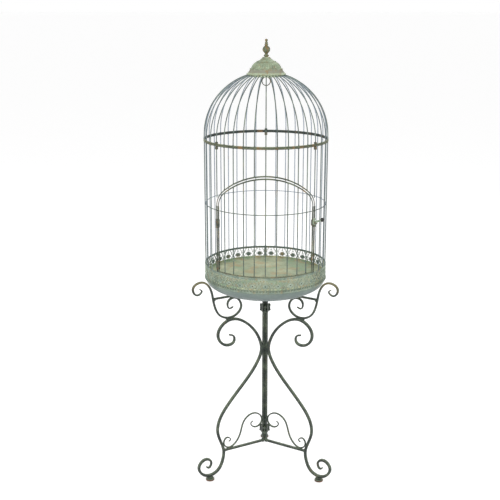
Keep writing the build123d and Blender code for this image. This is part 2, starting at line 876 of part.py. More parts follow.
# ---------------------------------------------------------------- crown
RING_BOTTOM = 1355.0
RING_TOP = 1361.7
RING_OUT = 59.0
RING_IN = 53.5

with BuildPart() as crown_ring:
    with BuildSketch(radial(5)):
        with Locations(((RING_IN + RING_OUT) / 2, (RING_BOTTOM + RING_TOP) / 2)):
            RectangleRounded(RING_OUT - RING_IN, RING_TOP - RING_BOTTOM, 1.0)
    revolve(axis=STAND_AXIS)
    add(dome_bars.part, mode=Mode.SUBTRACT)
save(crown_ring, "crown_ring")

with BuildPart() as crown_flare:
    with BuildSketch(radial(0)):
        with BuildLine():
            Line((RING_IN, RING_TOP), (61.6, RING_TOP))
            ThreePointArc((61.6, RING_TOP), (62.7, RING_TOP + 1.1), (61.6, RING_TOP + 2.2))
            Spline(
                (61.6, RING_TOP + 2.2),
                (58.2, 1366.2),
                (54.4, 1370.8),
                (51.2, 1377.4),
                tangents=[(-1, 0.3), (-0.25, 1)],
            )
            Line((51.2, 1377.4), (49.8, 1377.4))
            Spline(
                (49.8, 1377.4),
                (53.0, 1370.3),
                (56.4, 1365.6),
                (58.6, RING_TOP + 1.5),
                tangents=[(0.25, -1), (1, -1)],
            )
            Line((58.6, RING_TOP + 1.5), (RING_IN, RING_TOP + 1.5))
            Line((RING_IN, RING_TOP + 1.5), (RING_IN, RING_TOP))
        make_face()
    revolve(axis=STAND_AXIS)
save(crown_flare, "crown_flare")

FLUTE_COUNT = 36
FLUTE_W = 2.0

with BuildPart() as crown_dome:
    with BuildSketch(radial(5)):
        with BuildLine():
            Line((46.0, 1377.4), (51.4, 1377.4))
            ThreePointArc((51.4, 1377.4), (52.3, 1378.4), (51.4, 1379.4))
            Line((51.4, 1379.4), (47.4, 1380.0))
            Spline(
                (47.4, 1380.0),
                (43.0, 1389.6),
                (37.0, 1396.0),
                (30.4, 1399.6),
                tangents=[(-0.1, 1), (-1, 0.35)],
            )
            Line((30.4, 1399.6), (29.6, 1398.2))
            Spline(
                (29.6, 1398.2),
                (36.0, 1394.8),
                (41.8, 1388.6),
                (46.0, 1379.6),
                tangents=[(1, -0.35), (0.1, -1)],
            )
            Line((46.0, 1379.6), (46.0, 1377.4))
        make_face()
    revolve(axis=STAND_AXIS)
    for i in range(FLUTE_COUNT):
        azimuth = i * 360 / FLUTE_COUNT
        with BuildSketch(radial(azimuth)):
            with BuildLine():
                Polyline(
                    (50.0, 1383.5),
                    (46.0, 1382.5),
                    (44.4, 1386.0),
                    (42.4, 1389.1),
                    (39.8, 1392.5),
                    (36.5, 1395.4),
                    (34.6, 1396.6),
                    (38.0, 1400.4),
                    close=True,
                )
            make_face()
    extrude(amount=FLUTE_W / 2, both=True, mode=Mode.SUBTRACT)
save(crown_dome, "crown_dome")

STUD_R = 2.0

with BuildPart() as crown_cap:
    with BuildSketch(radial(0)):
        with BuildLine():
            Line((STUD_R, 1398.2), (29.4, 1398.2))
            Line((29.4, 1398.2), (30.4, 1399.7))
            ThreePointArc((30.4, 1399.7), (30.9, 1401.0), (29.6, 1401.8))
            Spline(
                (29.6, 1401.8),
                (21.5, 1405.0),
                (15.6, 1409.4),
                (12.4, 1412.4),
                tangents=[(-1, 0.15), (-0.7, 1)],
            )
            Line((12.4, 1412.4), (12.4, 1414.2))
            Line((12.4, 1414.2), (STUD_R, 1414.2))
            Line((STUD_R, 1414.2), (STUD_R, 1398.2))
        make_face()
    revolve(axis=STAND_AXIS)
save(crown_cap, "crown_cap")

# ---------------------------------------------------------------- finial and eye bolt
FINIAL_BASE = 1414.2
STUD_TOP = 1426.0

with BuildPart() as finial:
    with BuildSketch(radial(0)):
        with BuildLine():
            Line((0, STUD_TOP), (STUD_R, STUD_TOP))
            Line((STUD_R, STUD_TOP), (STUD_R, FINIAL_BASE))
            Line((STUD_R, FINIAL_BASE), (6.2, FINIAL_BASE))
            Line((6.2, FINIAL_BASE), (5.6, 1416.6))
            ThreePointArc((5.6, 1416.6), (8.3, 1419.0), (5.6, 1421.4))
            Spline(
                (5.6, 1421.4),
                (4.8, 1423.8),
                (7.2, 1427.8),
                tangents=[(-0.4, 1), (1, 1)],
            )
            ThreePointArc((7.2, 1427.8), (12.0, 1437.4), (7.2, 1447.0))
            Line((7.2, 1447.0), (4.2, 1449.4))
            ThreePointArc((4.2, 1449.4), (5.8, 1452.4), (4.0, 1455.2))
            ThreePointArc((4.0, 1455.2), (4.8, 1458.0), (3.0, 1460.8))
            Line((3.0, 1460.8), (2.7, 1461.9))
            ThreePointArc((2.7, 1461.9), (4.5, 1465.5), (0, TOTAL_HEIGHT))
            Line((0, TOTAL_HEIGHT), (0, STUD_TOP))
        make_face()
    revolve(axis=STAND_AXIS)
save(finial, "finial")

EYE_R = 5.0
EYE_D = 2.6
HANG_R = 13.2
HANG_D = 2.8
HANG_TOP_Z = 1352.6
HANG_PLAY = 0.05
EYE_Z = HANG_TOP_Z - HANG_D / 2 - HANG_PLAY - EYE_D / 2 + EYE_R

with BuildPart() as eye_bolt:
    eye_plane = Plane(origin=(0, AXIS_Y, EYE_Z), x_dir=(0, 0, 1), z_dir=(0, 1, 0))
    with BuildSketch(eye_plane):
        with Locations((EYE_R, 0)):
            Circle(EYE_D / 2)
    revolve(axis=Axis((0, AXIS_Y, EYE_Z), (1, 0, 0)))
    with BuildSketch(level(EYE_Z + EYE_R)):
        Circle(STUD_R)
    extrude(amount=STUD_TOP - EYE_Z - EYE_R - 0.5)
    with BuildSketch(level(1394.6)):
        RegularPolygon(4.5, 6, major_radius=False)
    extrude(amount=3.6)
save(eye_bolt, "eye_bolt")

with BuildPart() as hanging_ring:
    hang_z = HANG_TOP_Z - HANG_R
    hang_plane = Plane(origin=(0, AXIS_Y, hang_z), x_dir=(0, 0, 1), z_dir=(1, 0, 0))
    with BuildSketch(hang_plane):
        with Locations((HANG_R, 0)):
            Circle(HANG_D / 2)
    revolve(axis=Axis((0, AXIS_Y, hang_z), (0, 1, 0)))
save(hanging_ring, "hanging_ring")
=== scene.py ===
import math

import bmesh
import bpy
import numpy as np
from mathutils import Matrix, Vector, noise


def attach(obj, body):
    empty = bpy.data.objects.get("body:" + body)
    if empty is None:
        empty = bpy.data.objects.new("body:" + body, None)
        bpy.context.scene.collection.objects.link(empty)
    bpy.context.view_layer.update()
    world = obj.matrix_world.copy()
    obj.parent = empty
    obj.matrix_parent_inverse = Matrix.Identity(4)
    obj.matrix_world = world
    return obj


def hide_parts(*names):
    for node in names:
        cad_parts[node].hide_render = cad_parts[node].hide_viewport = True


# Bird cage on a three-legged scrolled stand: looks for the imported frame.
# Metres, +Z up; azimuth 0 is the front of the cage and 90 is +X.

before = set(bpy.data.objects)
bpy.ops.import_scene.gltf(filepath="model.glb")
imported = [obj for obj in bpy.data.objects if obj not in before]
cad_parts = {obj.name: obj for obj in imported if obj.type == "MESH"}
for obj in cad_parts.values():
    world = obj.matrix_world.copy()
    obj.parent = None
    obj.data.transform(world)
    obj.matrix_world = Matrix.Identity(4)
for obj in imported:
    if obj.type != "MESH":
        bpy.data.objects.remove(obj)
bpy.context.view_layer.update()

MM = 0.001
AXIS_Y = -0.0345  # the upright axis that the cage and the stand share
CAGE_R = 0.198  # axis to the centre of the cage bars
CROWN_R = 0.058  # axis to the upper ends of the dome bars
CROWN_Z = 1.358
RING_Z = 1.1564  # where the two rings at the dome's foot meet the bars
HOOP_Z = 0.950
RIM_Z = 0.748
SPRING_Z = 0.965  # springing of the door's arch and its frame
SILL_TOP = 0.7560
BARS = 36
BAR_STEP = 360 // BARS
FRAME_ARCH = (50.5, 0.106, 0.070)  # half angle, rise and haunch radius
DOOR_ARCH = (48.0, 0.098, 0.064)
LEG_AZIMUTHS = {"left": -60, "right": 60, "back": 180}


def wall_point(azimuth, radius, height):
    angle = math.radians(azimuth)
    return Vector((math.sin(angle) * radius, AXIS_Y - math.cos(angle) * radius, height))


def radial_axes(azimuth):
    """Level unit vectors across and along the direction outward at an azimuth."""
    turn = math.radians(azimuth)
    across = Vector((math.cos(turn), math.sin(turn), 0))
    outward = Vector((math.sin(turn), -math.cos(turn), 0))
    return across, outward


# ---------------------------------------------------------------- materials
def linear(channel):
    c = channel / 255
    return c / 12.92 if c <= 0.04045 else ((c + 0.055) / 1.055) ** 2.4


def colour(value):
    """A linear colour from an sRGB triple of 0 to 255; a socket stays as it is."""
    if isinstance(value, tuple):
        return tuple(linear(c) for c in value) + (1.0,)
    return value


class Graph:
    """A small helper that builds one node material."""

    def __init__(self, name):
        self.material = bpy.data.materials.new(name)
        self.material.use_nodes = True
        self.tree = self.material.node_tree
        self.shader = self.tree.nodes["Principled BSDF"]
        self.place = self.add("ShaderNodeTexCoord")
        self.surface = self.add("ShaderNodeNewGeometry")

    def add(self, kind, sockets=None, **settings):
        node = self.tree.nodes.new(kind)
        for key, value in settings.items():
            setattr(node, key, value)
        for key, value in (sockets or {}).items():
            self.feed(node.inputs[key], value)
        return node

    def feed(self, socket, value):
        if isinstance(value, bpy.types.NodeSocket):
            self.tree.links.new(value, socket)
        else:
            socket.default_value = value

    def speckle(self, scale, detail, rough, stretch=None):
        """Noise in the object's own space, from 0 to 1."""
        where = self.place.outputs["Object"]
        if stretch:
            where = self.add("ShaderNodeMapping", {0: where, 3: stretch}).outputs[0]
        sockets = {"Vector": where, "Scale": scale, "Detail": detail, "Roughness": rough}
        return self.add("ShaderNodeTexNoise", sockets).outputs["Fac"]

    def remap(self, value, low, high, to_low=0.0, to_high=1.0):
        sockets = {0: value, 1: low, 2: high, 3: to_low, 4: to_high}
        return self.add("ShaderNodeMapRange", sockets, clamp=True).outputs[0]

    def math(self, operation, a, b):
        return self.add("ShaderNodeMath", {0: a, 1: b}, operation=operation).outputs[0]

    def times(self, a, b):
        return self.math("MULTIPLY", a, b)

    def vector(self, operation, *values):
        sockets = dict(enumerate(values))
        return self.add("ShaderNodeVectorMath", sockets, operation=operation)

    def dot(self, a, b):
        return self.vector("DOT_PRODUCT", a, b).outputs["Value"]

    def mix(self, factor, a, b):
        sockets = {0: factor, 6: colour(a), 7: colour(b)}
        return self.add("ShaderNodeMix", sockets, data_type="RGBA").outputs[2]

    def upness(self):
        """1 on what faces up and 0 on what faces down, in the piece's own space."""
        normal = self.place.outputs["Normal"]
        return self.remap(self.dot(normal, (0, 0, 1)), -0.8, 0.8)

    def inwardness(self):
        """1 on what faces the cage's axis and 0 on what faces outward."""
        arm = self.vector("SUBTRACT", self.place.outputs["Object"], (0, AXIS_Y, 0)).outputs[0]
        flat = self.vector("MULTIPLY", arm, (1, 1, 0)).outputs[0]
        unit = self.vector("NORMALIZE", flat).outputs[0]
        return self.remap(self.dot(unit, self.place.outputs["Normal"]), 0.35, -0.35)

    def height(self, low, high):
        """0 below one height of the piece and 1 above another."""
        split = self.add("ShaderNodeSeparateXYZ", {0: self.place.outputs["Object"]})
        return self.remap(split.outputs[2], low, high)

    def edges(self, radius, low=0.02, high=0.16):
        """1 on corners, for rubbed paint and a painted highlight: where the rounded normal leaves
        the true one.
        """
        soft = self.add("ShaderNodeBevel", {"Radius": radius}, samples=4).outputs[0]
        same = self.dot(soft, self.surface.outputs["Normal"])
        return self.remap(self.math("SUBTRACT", 1.0, same), low, high)


BELT_FADE = 0.0015  # height over which a belt of colour fades in and out
PIT_DEPTH = 0.0006


def patina(
    name, dark, middle, pale, ochre, second=None, painted_under_shade=None, top=None, painted_inward_tone=None,
    rubbed_lit_edge=None, edge_radius=0.002, edge_amount=0.9, zones=(), belts=(), broad=26.0,
    fine=190.0, ochre_from=0.58, ochre_amount=0.7, roughness=(0.42, 0.74), metallic=0.15,
    bump=0.45,
):
    """Aged paint over iron: broad clouds, fine mottling, rubbed edges that double as a painted
    highlight, rust and pits, with painted light and shade by which way a face turns.
    """
    g = Graph(name)
    clouds = g.speckle(broad, 5.0, 0.62)
    mottle = g.speckle(fine, 5.0, 0.7)
    grain = g.speckle(fine * 5.0, 3.0, 0.6)
    blend = g.math("ADD", g.times(clouds, 0.55), g.times(mottle, 0.45))
    base = g.mix(g.remap(blend, 0.36, 0.50), dark, middle)
    base = g.mix(g.remap(blend, 0.50, 0.64), base, pale)
    if second:
        cast = g.speckle(broad * 0.8, 3.0, 0.5, (1.0, 1.0, 1.4))
        base = g.mix(g.remap(cast, 0.50, 0.60, 0.0, 0.7), base, second)
    # Painted shade: faces turned down take the darker under tone, standing in for shade below the
    # piece.
    if painted_under_shade:
        base = g.mix(g.remap(g.upness(), 0.55, 0.0), base, painted_under_shade)
    # Painted light: faces turned up take the lighter top tone in patches, standing in for light
    # falling from above.
    if top:
        lit = g.times(g.remap(g.upness(), 0.5, 1.0), g.remap(mottle, 0.3, 0.6))
        base = g.mix(lit, base, top)
    # Painted light and shade by facing: faces turned towards the axis take this tone, lighter on
    # the cage wire as painted back light, darker on the frame and gallery as painted shade.
    if painted_inward_tone:
        base = g.mix(g.inwardness(), base, painted_inward_tone)
    # Corners take the pale edge tone: rubbed paint that also serves as a painted highlight along
    # the corners.
    if rubbed_lit_edge:
        patchy = g.remap(mottle, 0.36, 0.58, 0.2 * edge_amount, edge_amount)
        base = g.mix(g.times(g.edges(edge_radius), patchy), base, rubbed_lit_edge)
    for low, high, tone, amount in zones:
        part = g.times(g.height(low, high), g.remap(mottle, 0.30, 0.55, 0.4, amount))
        base = g.mix(part, base, tone)
    for low, high, tone, amount in belts:
        belt = g.times(g.height(low, low + BELT_FADE), g.height(high, high - BELT_FADE))
        base = g.mix(g.times(belt, amount), base, tone)
    stain = g.speckle(broad * 2.3, 6.0, 0.66, (1.0, 1.0, 0.55))
    rust = g.remap(stain, ochre_from, ochre_from + 0.12)
    base = g.mix(g.times(rust, ochre_amount), base, ochre)
    base = g.mix(g.times(g.remap(grain, 0.34, 0.26), 0.55), base, dark)
    g.feed(g.shader.inputs["Base Color"], base)
    g.feed(g.shader.inputs["Roughness"], g.remap(mottle, 0.3, 0.7, *roughness))
    g.shader.inputs["Metallic"].default_value = metallic
    g.shader.inputs["Specular IOR Level"].default_value = 0.45
    relief = {
        "Height": g.math("ADD", mottle, g.times(grain, 0.35)),
        "Strength": bump,
        "Distance": PIT_DEPTH,
    }
    g.feed(g.shader.inputs["Normal"], g.add("ShaderNodeBump", relief).outputs[0])
    return g.material


# Each slot has its dark, middle, pale and ochre tones, and then what is special to it.
MATERIALS = {
    "stand_paint": patina(
        "stand_paint", (17, 24, 25), (43, 53, 46), (92, 102, 82), (108, 92, 60),
        # Painted shade on the undersides, painted light on the tops, and rubbed paint with a
        # painted highlight on the corners.
        rubbed_lit_edge=(136, 150, 124), edge_radius=0.0018, painted_under_shade=(18, 25, 26), top=(106, 118, 96),
        broad=34.0, ochre_from=0.57, ochre_amount=0.5, roughness=(0.34, 0.58),
        edge_amount=0.55, zones=((0.684, 0.706, (128, 118, 82), 0.6),),
    ),
    "foot_pad": patina(
        "foot_pad", (58, 42, 36), (104, 74, 60), (134, 102, 82), (88, 84, 68),
        rubbed_lit_edge=(150, 118, 92), edge_radius=0.0015, fine=320.0, roughness=(0.6, 0.85),
    ),
    "fastener_steel": patina(
        "fastener_steel", (26, 32, 31), (54, 64, 60), (98, 108, 96), (112, 88, 58),
        rubbed_lit_edge=(146, 156, 138), edge_radius=0.0008, fine=420.0, metallic=0.5,
    ),
    "cage_wire_paint": patina(
        "cage_wire_paint", (40, 50, 47), (76, 89, 80), (124, 138, 116), (138, 108, 66),
        # Painted light: wire faces towards the axis are a lighter blue-grey, as if lit from
        # behind.
        painted_inward_tone=(148, 158, 170), broad=18.0, fine=260.0, ochre_from=0.60,
        roughness=(0.34, 0.6),
    ),
    "frame_paint": patina(
        "frame_paint", (38, 46, 40), (72, 80, 66), (122, 130, 104), (142, 108, 66),
        # Painted shade on the undersides and on faces towards the axis, painted light on the
        # tops.
        painted_under_shade=(28, 36, 36), top=(152, 158, 124), broad=20.0, fine=260.0, ochre_from=0.54,
        painted_inward_tone=(58, 66, 62),
    ),
    "gallery_paint": patina(
        "gallery_paint", (78, 94, 88), (128, 144, 130), (166, 178, 160), (156, 136, 98),
        rubbed_lit_edge=(186, 196, 172), edge_radius=0.0010, broad=30.0, fine=300.0,
        # Painted shade: faces towards the axis are darker.
        painted_inward_tone=(96, 110, 104), ochre_from=0.55,
    ),
    "dish_paint": patina(
        "dish_paint", (84, 98, 92), (108, 122, 114), (134, 148, 134), (140, 128, 94),
        broad=12.0, fine=140.0, ochre_from=0.60, ochre_amount=0.5, roughness=(0.34, 0.56),
        # Painted shade below, and the wall above 698.5 mm, seen through the gallery's holes, in a
        # darker sage as painted shade in those holes.
        bump=0.2, painted_under_shade=(96, 108, 106), zones=((0.6970, 0.6985, (104, 116, 96), 1.0),),
    ),
    "floor_paint": patina(
        "floor_paint", (122, 134, 108), (162, 172, 141), (192, 194, 160), (172, 148, 108),
        broad=13.0, fine=130.0, ochre_from=0.50, ochre_amount=0.6, roughness=(0.5, 0.8),
        second=(134, 164, 130),
    ),
    "crown_paint": patina(
        "crown_paint", (96, 98, 82), (136, 150, 124), (178, 194, 162), (142, 114, 74),
        rubbed_lit_edge=(190, 204, 176), edge_radius=0.0016, broad=44.0, fine=330.0, ochre_from=0.53,
        # Painted shade on the undersides.
        painted_under_shade=(104, 102, 92), zones=((1.3700, 1.3660, (172, 184, 156), 0.95),),
        belts=((1.3668, 1.3772, (136, 134, 120), 0.8),),
    ),
    "finial_metal": patina(
        "finial_metal", (40, 46, 38), (84, 94, 74), (128, 140, 112), (146, 106, 54),
        rubbed_lit_edge=(160, 172, 138), edge_radius=0.0012, broad=60.0, fine=420.0, metallic=0.3,
        ochre_from=0.48, roughness=(0.34, 0.6),
    ),
    "fitting_metal": patina(
        "fitting_metal", (34, 40, 36), (68, 76, 66), (108, 116, 96), (132, 98, 60),
        rubbed_lit_edge=(146, 148, 120), edge_radius=0.0009, broad=60.0, fine=420.0, metallic=0.4,
        ochre_from=0.48,
    ),
    "latch_paint": patina(
        "latch_paint", (84, 98, 82), (132, 148, 126), (170, 184, 158), (148, 126, 82),
        rubbed_lit_edge=(196, 206, 182), edge_radius=0.0008, broad=60.0, fine=420.0, ochre_from=0.56,
    ),
    "knob_black": patina(
        "knob_black", (12, 13, 14), (20, 22, 23), (34, 36, 36), (54, 50, 42),
        broad=60.0, fine=500.0, ochre_from=0.66, roughness=(0.16, 0.32), bump=0.12,
        metallic=0.0,
    ),
}

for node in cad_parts.values():
    for held in node.material_slots:
        held.material = MATERIALS[held.name.split(".")[0]]


# ---------------------------------------------------------------- pieces in mesh code
def new_piece(name, build, slot, body, smooth=False):
    """Makes one piece from a bmesh and hands it to its body and its material slot."""
    mesh = bpy.data.meshes.new(name)
    build.to_mesh(mesh)
    build.free()
    if smooth:
        mesh.shade_smooth()
    piece = bpy.data.objects.new(name, mesh)
    bpy.context.collection.objects.link(piece)
    mesh.materials.append(MATERIALS[slot])
    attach(piece, body)
    return piece


def loop_pairs(items):
    """Each item of a closed loop with the one after it."""
    return zip(items, items[1:] + items[:1])


def skin(build, first, second):
    """A closed band of faces between two rows of points."""
    for (a, b), (c, d) in zip(loop_pairs(first), loop_pairs(second)):
        build.faces.new((a, b, d, c))


# ---------------------------------------------------------------- the pierced gallery
BAND_IN = 0.1987
BAND_OUT = 0.1997
BAND_LOW = 0.6995
BAND_HIGH = 0.7460
BAND_MID = (BAND_LOW + BAND_HIGH) / 2
MOTIFS = 31
PITCH = 2 * math.pi * BAND_OUT / MOTIFS
RAIL_LOW = -0.0192
RAIL_HIGH = 0.0202
RAIL_RISE = 0.0007
RAIL_STEPS = 12  # for each motif
SLOPE = 22 / 13  # of the lattice bars
TWIN_GAP = 0.0017  # half the gap of a doubled lattice bar
TWIN_BAR = (0.0013, 0.0006)  # width and rise
SINGLE_BAR = (0.0010, 0.0004)
SPOKE_BAR = (0.0014, 0.0004)
SPOKE_FROM = 0.0068
SPOKE_TO = (0.0102, 0.0172)  # along the band, and up and down
OVAL = 1.08  # a medallion's width over its height
# Radius and depth in mm: a rolled rim, a sunk ring and a raised middle with a hole.
BOSS_PROFILE = (
    (7.1, -1.0), (7.1, 0.1), (6.6, 0.9), (5.8, 0.9), (5.3, 0.15), (4.1, 0.15),
    (3.6, 0.7), (2.6, 0.9), (1.4, 0.5), (0.2, 0.4), (0.2, -1.0),
)
BOSS_TURNS = 28
EYE_PROFILE = ((1.9, 0.3), (1.7, 1.1), (1.1, 1.6), (0.3, 1.8))
EYE_TURNS = 14


def on_band(along, up, depth):
    """A point of the gallery: distance round it, height from its middle, depth outward."""
    azimuth = math.degrees(along / BAND_OUT)
    return wall_point(azimuth, BAND_OUT + depth, BAND_MID + up)


def rib(build, path, width, rise):
    """A raised strip along a path on the band, with sloped shoulders and a flat back."""
    back = BAND_IN - BAND_OUT
    profile = ((-0.5, back), (-0.5, 0.0), (-0.28, rise), (0.28, rise), (0.5, 0.0), (0.5, back))
    rows = []
    for index, (along, up) in enumerate(path):
        before = path[max(index - 1, 0)]
        after = path[min(index + 1, len(path) - 1)]
        run = Vector((after[0] - before[0], after[1] - before[1])).normalized()
        side = Vector((-run.y, run.x))
        row = []
        for offset, depth in profile:
            shift = side * offset * width
            row.append(build.verts.new(on_band(along + shift.x, up + shift.y, depth)))
        rows.append(row)
    for first, second in zip(rows, rows[1:]):
        skin(build, first, second)
    build.faces.new(rows[0][::-1])
    build.faces.new(rows[-1])


def straight(a, b, steps):
    return [
        (a[0] + (b[0] - a[0]) * k / steps, a[1] + (b[1] - a[1]) * k / steps)
        for k in range(steps + 1)
    ]


def diagonal(middle, lean):
    """A lattice bar from rail to rail through a point of the band's middle line."""
    low = (middle + lean * RAIL_LOW / SLOPE, RAIL_LOW)
    high = (middle + lean * RAIL_HIGH / SLOPE, RAIL_HIGH)
    return straight(low, high, 8)


def turned(build, centre, profile, turns, stretch):
    """Rings of points round a centre on the band, one for each radius and depth in mm."""
    rings = []
    for reach, depth in profile:
        ring = []
        for k in range(turns):
            angle = 2 * math.pi * k / turns
            along = centre + MM * reach * math.cos(angle) * stretch
            spot = on_band(along, MM * reach * math.sin(angle), MM * depth)
            ring.append(build.verts.new(spot))
        rings.append(ring)
    return rings


def eye(build, centre):
    """A small domed rivet in the middle of a medallion."""
    rings = turned(build, centre, EYE_PROFILE, EYE_TURNS, 1.0)
    for first, second in zip(rings, rings[1:]):
        skin(build, first, second)
    build.faces.new(rings[-1])


def boss(build, centre):
    """An oval medallion, closed at the back."""
    rings = turned(build, centre, BOSS_PROFILE, BOSS_TURNS, OVAL)
    for first, second in loop_pairs(rings):
        skin(build, first, second)


gallery = bmesh.new()
eye_shade_dots = bmesh.new()
steps = MOTIFS * RAIL_STEPS
for low_edge, high_edge in ((BAND_LOW, BAND_MID + RAIL_LOW), (BAND_MID + RAIL_HIGH, BAND_HIGH)):
    middle = (low_edge + high_edge) / 2 - BAND_MID
    rail = [(PITCH * MOTIFS * k / steps, middle) for k in range(steps + 1)]
    rib(gallery, rail, high_edge - low_edge, RAIL_RISE)
for motif in range(MOTIFS):
    centre = motif * PITCH
    boss(gallery, centre)
    eye(eye_shade_dots, centre)
    for lean in (-1, 1):
        for quarter in (1, 2, 3):
            spot = centre + quarter * PITCH / 4
            if quarter == 2:
                rib(gallery, diagonal(spot - TWIN_GAP, lean), *TWIN_BAR)
                rib(gallery, diagonal(spot + TWIN_GAP, lean), *TWIN_BAR)
            else:
                rib(gallery, diagonal(spot, lean), *SINGLE_BAR)
    for turn in range(4):
        c, d = math.cos(math.pi * turn / 2), math.sin(math.pi * turn / 2)
        reach = SPOKE_TO[turn % 2]
        near = (centre + c * SPOKE_FROM, d * SPOKE_FROM)
        far = (centre + c * reach, d * reach)
        rib(gallery, straight(near, far, 2), *SPOKE_BAR)
gallery_piece = new_piece("gallery_relief", gallery, "gallery_paint", "cage")
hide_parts("gallery_band")
# Dark steel rivets in the medallions' middles: painted shade standing in for the shadow in each
# medallion's centre hole.
new_piece("gallery_eye_shade_dots", eye_shade_dots, "fastener_steel", "cage", smooth=True)


# ---------------------------------------------------------------- weld beads
XYZ = (Vector((1, 0, 0)), Vector((0, 1, 0)), Vector((0, 0, 1)))


def bead(build, place, axes, grain, depth, seed):
    """A lumpy bead of weld metal; axes are the three half-lengths of it, as vectors."""
    made = bmesh.ops.create_icosphere(build, subdivisions=2, radius=1.0)
    for vert in made["verts"]:
        lump = 1 + depth * noise.noise(vert.co * grain + seed)
        spread = axes[0] * vert.co.x + axes[1] * vert.co.y + axes[2] * vert.co.z
        vert.co = place + spread * lump


def bar_bead(build, place, size, seed):
    """A bead on the cage, with its half-lengths in mm along x, y and z."""
    axes = [axis * half * MM for axis, half in zip(XYZ, size)]
    bead(build, place, axes, 1.7, 0.22, Vector((seed * 3.1, seed * 1.7, seed)))


def arch_height(azimuth, half, rise, haunch):
    """Height over the springing of a three-centred arch, at an azimuth."""
    span = CAGE_R * math.sin(math.radians(half))
    run, up = span - haunch, rise - haunch
    drop = (run**2 - up**2) / (2 * up)
    reach = math.hypot(run, drop)
    x = CAGE_R * abs(math.sin(math.radians(azimuth)))
    if x <= run + haunch * run / reach:
        return math.sqrt((rise + drop) ** 2 - x**2) - drop
    return math.sqrt(haunch**2 - (x - run) ** 2)


DOORWAY = 48  # bars nearer the front than this end on the door's frame
ON_RING = (2.6, 2.6, 1.2)
ON_HOOP = (1.9, 1.9, 1.6)
HOOP_BEAD_R = CAGE_R - 0.0021

welds = bmesh.new()
for count in range(BARS):
    azimuth = count * BAR_STEP if count <= BARS // 2 else count * BAR_STEP - 360
    bar_bead(welds, wall_point(azimuth, CAGE_R, RING_Z + 0.0050), ON_RING, count)
    bar_bead(welds, wall_point(azimuth, CROWN_R, CROWN_Z), (2.8, 2.8, 2.0), count + 40)
    bar_bead(welds, wall_point(azimuth, CAGE_R, RING_Z - 0.0050), ON_RING, count + 80)
    if abs(azimuth) < DOORWAY:
        top = SPRING_Z + arch_height(azimuth, *FRAME_ARCH) + 0.0024
        bar_bead(welds, wall_point(azimuth, CAGE_R, top), (2.5, 2.2, 1.1), count + 120)
    else:
        bar_bead(welds, wall_point(azimuth, CAGE_R, RIM_Z + 0.0024), ON_RING, count + 160)
        bar_bead(welds, wall_point(azimuth, HOOP_BEAD_R, HOOP_Z), ON_HOOP, count + 200)
new_piece("cage_welds", welds, "cage_wire_paint", "cage", smooth=True)

door_welds = bmesh.new()
for count in range(-4, 5):
    azimuth = count * BAR_STEP
    top = SPRING_Z + arch_height(azimuth, *DOOR_ARCH) - 0.0026
    bar_bead(door_welds, wall_point(azimuth, CAGE_R, top), (2.4, 2.2, 1.2), count + 9)
    bar_bead(door_welds, wall_point(azimuth, CAGE_R, SILL_TOP), (2.5, 2.5, 1.2), count + 29)
    bar_bead(door_welds, wall_point(azimuth, HOOP_BEAD_R, HOOP_Z), ON_HOOP, count + 49)
new_piece("door_welds", door_welds, "cage_wire_paint", "door", smooth=True)

# Distance from the axis, height, half-length and half-height, in mm.
JOINS = (
    (10.2, 440.0, 4.5, 13.0),  # leg on the post
    (141.5, 570.5, 8.5, 2.8),  # top scroll on the leg's curl
    (190.5, 645.0, 3.2, 4.6),  # support arm on the scroll
    (118.0, 644.0, 5.5, 2.6),  # support arm on the inner curl
    (156.5, 97.0, 3.4, 5.0),  # brace on the leg
    (10.5, 97.0, 3.2, 5.0),  # brace on the post
    (140.0, 101.4, 6.0, 2.2),  # small scroll on the brace
    (10.6, 183.0, 2.6, 6.0),  # small scroll on the post
    (215.0, 12.0, 6.2, 2.6),  # leg on its foot cup
)
JOIN_SIDE = 2.2 * MM  # from the bar's middle plane to a bead
JOIN_HALF_WIDTH = 2.4 * MM

stand_welds = bmesh.new()
for leg, azimuth in enumerate(LEG_AZIMUTHS.values()):
    across, outward = radial_axes(azimuth)
    for count, (radius, height, half_length, half_height) in enumerate(JOINS):
        axes = (
            outward * half_length * MM,
            across * JOIN_HALF_WIDTH,
            Vector((0, 0, half_height * MM)),
        )
        for side in (-1, 1):
            spot = wall_point(azimuth, radius * MM, height * MM) + across * side * JOIN_SIDE
            seed = Vector((count * 2.3, leg * 5.1, side * 3.7))
            bead(stand_welds, spot, axes, 1.9, 0.25, seed)
new_piece("stand_welds", stand_welds, "stand_paint", "stand", smooth=True)


